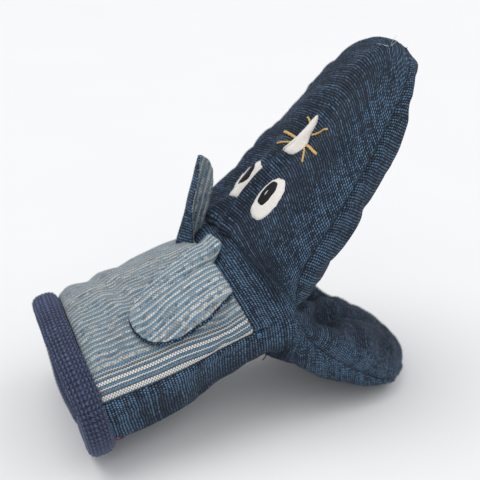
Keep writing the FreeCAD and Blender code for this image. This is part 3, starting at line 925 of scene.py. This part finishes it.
# --- ears --------------------------------------------------------------------------------------
EAR_ROWS, EAR_COLUMNS = 44, 41
EAR_CLOTH = 0.8
EAR_LIFT = 2.8              # gap between the flopped ear and the cloth beneath it
STEEPEST = 10.0             # the most that it is lifted by the cloth beneath
LOBE_REACH = 12.0           # how far its upper root runs over the neck seam
TUCK = 0.8                  # its lower root ends this far short of the seam
RIGHT_EAR_AXIS = np.array([-0.92, -0.187, -0.343])
RIGHT_EAR_ACROSS = np.array([-0.31, 0.884, 0.349])
RIGHT_EAR_ROOT = 3.0        # how far it starts below its hinge
# The flopped ear's outline: distance from the root, lower edge, upper edge.
RIGHT_EAR_EDGE = [
    (0.0, -15.5, 21.0), (6.0, -17.2, 20.7), (13.0, -18.2, 19.4), (23.0, -18.6, 17.2), (34.0, -17.4, 14.2),
    (42.0, -14.6, 11.4), (47.5, -10.6, 8.0), (50.5, -6.6, 3.8), (51.6, -2.6, -1.4),
]
LEFT_EAR_HEIGHT = 49.0
LEFT_EAR_ROOT = 11.0        # how far it reaches down below its hinge
LEFT_EAR_LEAN = 75.0
LEFT_EAR_SHARES = (0.0, 0.15, 0.35, 0.55, 0.72, 0.85, 0.94, 1.0)
LEFT_EAR_NEAR = (14.0, 12.6, 10.0, 9.4, 8.6, 6.2, 3.7, 0.9)     # width of the half towards the right
LEFT_EAR_AHEAD = (9.3, 11.1, 12.3, 12.6, 12.0, 9.9, 6.3, 0.9)   # and of the half towards the nose


def ear_sheet(side, layer, points, flip, stripes):
    skin = Skin(points, flip)
    skin.run = stripes
    ear = "ear_" + side
    obj = cloth_sheet(ear + "_" + layer, skin, "ear_stripes" if layer == "stripes" else "dark", EAR_CLOTH)
    follow(obj, ear, ear + ("_front" if layer == "stripes" else "_back"))


def build_right_ear(skins):
    """The flopped ear: a wide leaf on the sleeve's shoulder, its upper root pleated over the seam."""
    surface = Surface(skins["front"], skins["head"])
    root = RIGHT_EAR - (0.0, 0.0, RIGHT_EAR_ROOT)
    axis, across_way = RIGHT_EAR_AXIS, RIGHT_EAR_ACROSS
    above = np.cross(across_way, axis)
    far, low_edge, high_edge = np.array(RIGHT_EAR_EDGE).T
    neck_x, neck_z, neck_tilt = SLEEVE[-1][:3]
    ahead = direction(neck_tilt)
    for layer, grow, drop in (("stripes", 0.0, 0.0), ("dark", 0.8, 1.4)):
        points = np.zeros((EAR_ROWS, EAR_COLUMNS, 3))
        stripes = np.zeros((EAR_ROWS, EAR_COLUMNS))
        for i in range(EAR_ROWS):
            share = math.sin(math.pi / 2 * i / (EAR_ROWS - 1))
            reach = far[-1] * share
            low = np.interp(reach, far, low_edge) - grow
            high = np.interp(reach, far, high_edge) - 0.6 * grow
            for j in range(EAR_COLUMNS):
                t = j / (EAR_COLUMNS - 1)
                across = low + (high - low) * t
                lobe = smoothstep(across, 6.5, 9.5) * (1 - smoothstep(share, 0.0, 0.42))
                gap = (root + across_way * across - (neck_x, 0.0, neck_z)) @ ahead
                tuck = (gap + TUCK) / -(axis @ ahead)
                over = smoothstep(across, 5.5, 9.0)
                start = -LOBE_REACH * over * (1 - share) ** 3 + tuck * (1 - over) * (1 - share) ** 2
                spot = root + axis * (reach + start + grow * share) + across_way * across
                puff = 1.5 * (1 - abs(2 * t - 1) ** 5) * math.sin(math.pi * min(1.0, 0.15 + share)) ** 0.5
                pleat = -1.6 * bell(across, 5.4, 1.5) * (1 - smoothstep(share, 0.15, 0.6))
                curl = 2.6 * smoothstep(0.22 - t, 0.0, 0.22) * bell(share, 0.3, 0.3)
                lift = EAR_LIFT + puff + 3.4 * lobe + pleat + curl - drop
                rise = (surface.drop(spot + above * OUTSIDE, -above)[0] - spot) @ above
                if rise > 0:
                    rise = STEEPEST * math.tanh(rise / STEEPEST)
                points[i, j] = spot + above * (rise + lift)
                stripes[i, j] = across + 30.0 + 1.2 * lobe
        points = points + noise_at(points, 9.0, 2.0)[..., None] * 0.4 * above
        ear_sheet("right", layer, points, False, stripes)


def build_left_ear():
    """The standing ear: folded along its length, one half towards the right and one forwards."""
    lean = direction(LEFT_EAR_LEAN)
    spine = LEFT_EAR + (-0.8, 1.0, 0.0)
    steps = np.linspace(-1.0, 1.0, 201)
    for layer, set_back in (("stripes", 0.0), ("dark", 1.1)):
        points = np.zeros((EAR_ROWS, EAR_COLUMNS, 3))
        stripes = np.zeros((EAR_ROWS, EAR_COLUMNS))
        for i in range(EAR_ROWS):
            share = 1 - (1 - i / (EAR_ROWS - 1)) ** 1.5
            closing = 50.0 * (1 - smoothstep(share, 0.1, 0.6)) * smoothstep(-steps, 0.0, 0.25)
            heading = np.radians(43.0 - 45.0 * np.tanh(steps / 0.22) - 4.0 * steps + closing)
            path = np.cumsum([np.cos(heading), np.sin(heading)], axis=1) * (steps[1] - steps[0])
            path -= path[:, 100:101]
            reach = (LEFT_EAR_HEIGHT + LEFT_EAR_ROOT) * share - LEFT_EAR_ROOT
            for j in range(EAR_COLUMNS):
                across = -1 + 2 * j / (EAR_COLUMNS - 1)
                ahead = max(0.0, across)
                widths = LEFT_EAR_NEAR if across < 0 else LEFT_EAR_AHEAD
                half = np.interp(share, LEFT_EAR_SHARES, widths) + set_back * 0.6
                x, y = (np.interp(across, steps, line) for line in path)
                spot = spine + lean * (reach + set_back * 0.5 * share) + np.array([x, y, 0.0]) * half
                bulb = 3.4 * bell(reach, 2.0, 6.0) * (1 - ahead)
                shift = (set_back * 0.75 + bulb * 0.6, bulb * 0.8 - set_back * 0.7 * ahead, 0.0)
                points[i, j] = spot - shift
                stripes[i, j] = half * across + 30.0
        points = points + noise_at(points, 9.0, 4.0)[..., None] * (0.4, 0.3, 0.0)
        ear_sheet("left", layer, points, True, stripes)


# --- cuff --------------------------------------------------------------------------------------
CUFF_WIDTH, CUFF_THICK = 14.0, 9.4
CUFF_AROUND, CUFF_SECTION = 260, 64
CUFF_FLOOR = 0.05
KNIT_WIDE, KNIT_TALL, KNIT_RELIEF = 2.5, 2.0, 0.75


def build_cuff():
    """The rolled knit binding, in two halves that meet at the side seams."""
    x, z, tilt, half_width, half_height, seam = SLEEVE[0]
    centre = np.array([x, 0.0, z])
    back = -direction(tilt)
    t = np.linspace(0.0, 2 * math.pi, CUFF_SECTION, endpoint=False)
    loop = np.stack([rounded(np.cos(t), 0.75), rounded(np.sin(t), 0.85)], axis=1)
    loop *= np.array([CUFF_WIDTH, CUFF_THICK]) / 2
    loop_run = run_along(loop, 0)
    for name, last in (("front", seam), ("back", 360.0 + seam)):
        line = oval(centre, tilt, half_width, half_height, half_height, SLEEVE_ROUNDNESS,
                    180.0 - seam, last, CUFF_AROUND)
        outward = np.cross(unit(np.gradient(line, axis=0)), back)
        outward *= np.sign(np.einsum("ij,ij->i", outward, line - centre))[:, None]
        length = run_along(line, 0)
        a = length[:, None] / KNIT_WIDE
        v = np.abs(2 * (a - np.floor(a)) - 1)
        stitch = 0.5 + 0.5 * np.cos(2 * math.pi * (loop_run[None, :] / KNIT_TALL + 0.5 * v))
        stitch = stitch * (1 - 0.75 * np.clip(v * 1.6 - 0.6, 0, 1) ** 2)
        lumps = noise_at(line[:, None] + loop[None, :, 1:2] * outward[:, None] * 2, 16.0, 6.0)
        close = np.clip(np.minimum(length, length[-1] - length) / 1.2, 0.0, 1.0) ** 0.5
        swell = (0.93 + 0.07 * close)[:, None] * (1 + 0.09 * lumps)
        turn = np.arctan2((line - centre)[:, 1], (line - centre) @ direction(tilt + 90))
        sway = 1.6 * bell(turn, -1.4, 0.5) - 3.4 * bell(turn, 2.3, 0.7)
        middle = line + back * (0.4 + CUFF_WIDTH / 2 - sway[:, None]) - outward * 0.75
        reach = loop[None] * swell[..., None] + unit(loop)[None] * (KNIT_RELIEF * (stitch - 0.5))[..., None]
        points = middle[:, None] + reach[..., :1] * back + reach[..., 1:] * outward[:, None]
        points[..., 2] = np.maximum(points[..., 2], CUFF_FLOOR)
        last_ring = (CUFF_AROUND - 1) * CUFF_SECTION
        caps = [range(CUFF_SECTION - 1, -1, -1), range(last_ring, last_ring + CUFF_SECTION)]
        values = {
            "run": np.repeat(length[:, None], CUFF_SECTION, axis=1),
            "rib": np.repeat(loop_run[None], CUFF_AROUND, axis=0),
            "knit": np.clip(stitch + 0.15 * lumps, 0, 1),
        }
        faces = list(ring_faces(CUFF_AROUND, CUFF_SECTION)) + caps
        obj = make_mesh("cuff_knit_" + name, points, faces, "knit", values)
        follow(obj, SLEEVE_BODY, "cuff_binding_" + name)


# --- inside and small things -------------------------------------------------------------------
POCKET_GAP = 2.6            # between a pocket and the cloth around it
LINING_CLOTH = 0.6
LINING_INSET = 7.0
# The lining's closed end: share of its size, distance beyond its last ring.
LINING_END = ((0.985, 3.0), (0.9, 6.0), (0.6, 8.0), (0.05, 9.0))


def squeeze(points, above, beneath, up):
    """Keeps a pocket's cloth between the skins above and beneath it."""
    for index in np.ndindex(points.shape[:2]):
        spot = points[index]
        top = above.drop(spot + up * OUTSIDE, -up)[0] @ up
        low = beneath.drop(spot - up * OUTSIDE, up)[0] @ up
        middle = (top + low) / 2
        room = max(0.4, (top - low) / 2 - POCKET_GAP)
        height = spot @ up
        points[index] = spot + up * (np.clip(height, middle - room, middle + room) - height)


def closed_end(ring, way, steps):
    """Rings that shrink this one to a blunt end: share of its size, distance along the way."""
    centre = ring.mean(axis=0)
    return [centre + (ring - centre) * share + way * ahead for share, ahead in steps]


def whole_ring(wire, *arguments, **options):
    """The upper and lower halves of a wire, joined into one ring."""
    over, beneath = (wire(*arguments, upper=upper, **options) for upper in (True, False))
    return np.concatenate([over, beneath[::-1][1:-1]])


def build_pockets(skins):
    """The lining that a hand meets: the sleeve's tube, and the finger and thumb pockets beyond it."""
    tube = loft([whole_ring(sleeve_wire, row, inset=LINING_INSET) for row in SLEEVE], (12, 12))
    ends = closed_end(tube[-1], direction(SLEEVE[-1][2]), LINING_END)
    pocket_piece("sleeve_lining_cloth", np.concatenate([tube, ends]), SLEEVE_BODY, "sleeve_lining")
    for body, rows, axis, roundness, above, beneath, top_gap, bottom_gap in (
            (HEAD_BODY, HEAD[2:7], HEAD_AXIS, HEAD_ROUNDNESS, "head", "upper", 7.0, 5.0),
            (JAW_BODY, JAW[2:6], JAW_AXIS, JAW_ROUNDNESS, "lower", "under", 5.0, 6.0)):
        rings = []
        for distance, top, seam, bottom, half_width in rows:
            inner = (distance, top - top_gap, seam, bottom + bottom_gap, half_width - 8.0)
            rings.append(whole_ring(limb_wire, inner, axis, roundness))
        points = loft(rings, (8,) * (len(rows) - 1))
        ahead = direction(axis)
        ends = closed_end(points[-1], ahead, ((0.8, 3.0), (0.05, 5.0)))
        starts = closed_end(points[0], -ahead, ((0.05, 4.0), (0.8, 2.0)))
        points = np.concatenate([starts, points, ends])
        squeeze(points, Surface(skins[above]), Surface(skins[beneath]), direction(axis + 90))
        pocket_piece(body + "_pocket_cloth", points, body, body + "_lining")


def pocket_piece(name, points, body, node):
    values = {"rib": run_along(points, 0), "run": run_along(points, 1)}
    obj = make_mesh(name, points, ring_faces(*points.shape[:2])[:, ::-1], "lining", values)
    solid = obj.modifiers.new("thickness", "SOLIDIFY")
    solid.thickness = LINING_CLOTH * MM
    follow(obj, body, node)


def build_seams(skins):
    front, head, under = skins["front"], skins["head"], skins["under"]
    neck, fold = sum(SLEEVE_ROWS), sum(SLEEVE_ROWS) + THROAT_ROWS
    front_out, head_out, under_out = front.normals(), head.normals(), under.normals()

    def round_edge(grid, first):
        return np.concatenate([grid[first:, 0], grid[-1], grid[first:, -1][::-1]])

    def side_of(column):
        return under.points[:neck + 1, column], front_out[:, column] + under_out[:neck + 1, column]

    neck_line = front.points[-1], front_out[-1] + head_out[0]
    head_line = [round_edge(grid, THROAT_ROWS) for grid in (head.points, head_out)]
    jaw_line = [round_edge(grid, fold) for grid in (under.points, under_out)]
    for name, (line, lift), radius, body, node in (
            ("side_seam_stitches_right", side_of(0), 0.22, SLEEVE_BODY, "side_seam_thread_right"),
            ("side_seam_stitches_left", side_of(-1), 0.22, SLEEVE_BODY, "side_seam_thread_left"),
            ("neck_seam_stitches", neck_line, 0.26, SLEEVE_BODY, "neck_seam_thread"),
            ("head_edge_stitches", head_line, 0.24, HEAD_BODY, "head_edge_seam"),
            ("jaw_edge_stitches", jaw_line, 0.24, JAW_BODY, "jaw_edge_seam")):
        thread_piece(name, stitches_along(line, lift), radius, "dark_thread", body, node)


def build_odds(skins):
    """Tack stitches, a knot, loose thread ends, the small tuft at the nose and the slit before it."""
    under, head, front = skins["under"], skins["head"], skins["front"]
    back = -direction(SLEEVE[0][2])
    share = np.linspace(-1.0, 1.0, 9)[:, None]
    paths = []
    for skin, column in ((front, 3), (under, 9)):
        arch = skin.normals()[1, column] * (0.9 - 0.5 * share**2)
        paths.append(skin.points[1, column] + back * share * 1.6 + arch + np.array([0.0, 0.0, 0.5]) * share)
    thread_piece("tack_stitches_red", paths, 0.24, "red", SLEEVE_BODY, "cuff_tack_stitches")
    neck = sum(SLEEVE_ROWS)
    knot = under.points[neck + 1, 1] + under.normals()[neck + 1, 1] * 0.5
    turn = np.linspace(0.0, 5 * math.pi, 40)
    coil = np.stack([1.0 * np.cos(turn), 0.25 * turn / math.pi - 0.6, 0.9 * np.sin(turn)], axis=1)
    thread_piece("knot_blue", [knot + coil], 0.33, "blue_thread", SLEEVE_BODY)
    share = np.linspace(0.0, 1.0, 10)[:, None]
    for name, row, column, look, drop, radius, body in (
            ("loose_end_dark", neck + 12, 20, "dark_thread", (-2.2, -1.6, -2.2), 0.3, SLEEVE_BODY),
            ("loose_end_pale", neck + 19, 19, "pale", (0.4, -1.2, -3.0), 0.28, JAW_BODY)):
        path = under.points[row, column] + np.array(drop) * 1.3 * share
        thread_piece(name, [path + np.array([1.2, 0.0, 0.0]) * np.sin(3.0 * share)], radius, look, body)
    nose, normal = head.points[-8, 22], head.normals()[-8, 22]
    share = np.linspace(0.0, 1.0, 8)[:, None]
    tuft = []
    for k in range(9):
        spread = np.array([noise.noise(Vector((k * 1.7, 2.0, s))) for s in (0.3, 1.3, 2.3)])
        path = nose + spread * 1.5 + (normal * 1.6 + spread * 7.0) * share
        tuft.append(path + spread[::-1] * 3.0 * share**2)
    thread_piece("nose_tuft", tuft, 0.09, "pale", HEAD_BODY)
    surface = Surface(head)
    # A black thread laid along the slit: partly thread, partly painted shade of the slit.
    slit = [head_point(surface, 95.0 + s, RIDGE + 2.2 + 0.1 * s)[0] for s in np.linspace(0.0, 9.0, 8)]
    thread_piece("nose_slit_thread_and_shade", [slit], 0.6, "slit", HEAD_BODY)


# --- stage -------------------------------------------------------------------------------------
CAMERA_AZIMUTH, CAMERA_ELEVATION = 21.0, 24.5
CAMERA_DISTANCE = 480.0
CAMERA_AIM = HINGE + np.array([-14.0, 0.0, 25.1])
LENS = 65.45
FOCUS = HINGE + np.array([-22.0, -46.0, 12.0])
APERTURE = 9.0
WORLD_LIGHT = 0.57
FLOOR_HALF = 4000.0
# Soft daylight: name, the way the light comes from, strength, softness in degrees.
LAMPS = [
    ("window", (-0.3, 0.08, 0.95), 1.2, 45.0),
    ("bounce", (-0.2, -0.7, 0.7), 0.46, 60.0),
    ("fill", (0.6, -0.3, 0.7), 0.5, 60.0),
]


def place(name, data, way, axis):
    """Adds a lamp or camera whose axis points back along the way its light or view comes from."""
    obj = bpy.data.objects.new(name, data)
    obj.rotation_mode = "QUATERNION"
    obj.rotation_quaternion = Vector(way).to_track_quat(axis, "Y")
    bpy.context.scene.collection.objects.link(obj)
    return obj


def build_stage():
    scene = bpy.context.scene
    floor = np.array([(-1, -1, 0), (1, -1, 0), (1, 1, 0), (-1, 1, 0)]) * FLOOR_HALF
    make_mesh("floor", floor, [(0, 1, 2, 3)], "floor", smooth=False)
    scene.world = bpy.data.worlds.new("studio")
    scene.world.use_nodes = True
    background = scene.world.node_tree.nodes["Background"]
    background.inputs[0].default_value = (0.97, 0.98, 1.0, 1.0)
    background.inputs[1].default_value = WORLD_LIGHT
    for name, heading, strength, softness in LAMPS:
        light = bpy.data.lights.new(name, "SUN")
        light.energy = strength
        light.angle = math.radians(softness)
        place(name, light, heading, "Z")
    a, e = math.radians(CAMERA_AZIMUTH), math.radians(CAMERA_ELEVATION)
    back = Vector((-math.sin(a) * math.cos(e), -math.cos(a) * math.cos(e), math.sin(e)))
    focus = bpy.data.objects.new("focus", None)
    focus.location = tuple(FOCUS * MM)
    scene.collection.objects.link(focus)
    data = bpy.data.cameras.new("camera")
    data.lens = LENS
    data.sensor_width = 36.0
    data.dof.use_dof = True
    data.dof.focus_object = focus
    data.dof.aperture_fstop = APERTURE
    scene.camera = place("camera", data, -back, "-Z")
    scene.camera.location = Vector(CAMERA_AIM * MM) + back * CAMERA_DISTANCE * MM
    scene.view_settings.view_transform = "Standard"


skins = build_skins()
stuff(skins)
rumple(skins)
for sheet, key, look, body, nodes in (
        ("sleeve_front_cloth", "front", "stripes", SLEEVE_BODY, ["sleeve_front_panel"]),
        ("underside_cloth", "under", "dark", JAW_BODY, ["sleeve_back_panel", "jaw_panel", "jaw_wadding"]),
        ("head_cloth", "head", "dark", HEAD_BODY, ["head_panel", "head_panel_nape", "head_wadding"]),
        ("mouth_cloth_upper", "upper", "mouth", HEAD_BODY, ["mouth_panel_upper"]),
        ("mouth_cloth_lower", "lower", "tongue", JAW_BODY, ["mouth_panel_lower"])):
    follow(cloth_sheet(sheet, skins[key], look), body, *nodes)
build_cuff()
build_pockets(skins)
build_seams(skins)
build_face(Surface(skins["head"]))
build_right_ear(skins)
build_left_ear()
build_odds(skins)
build_stage()
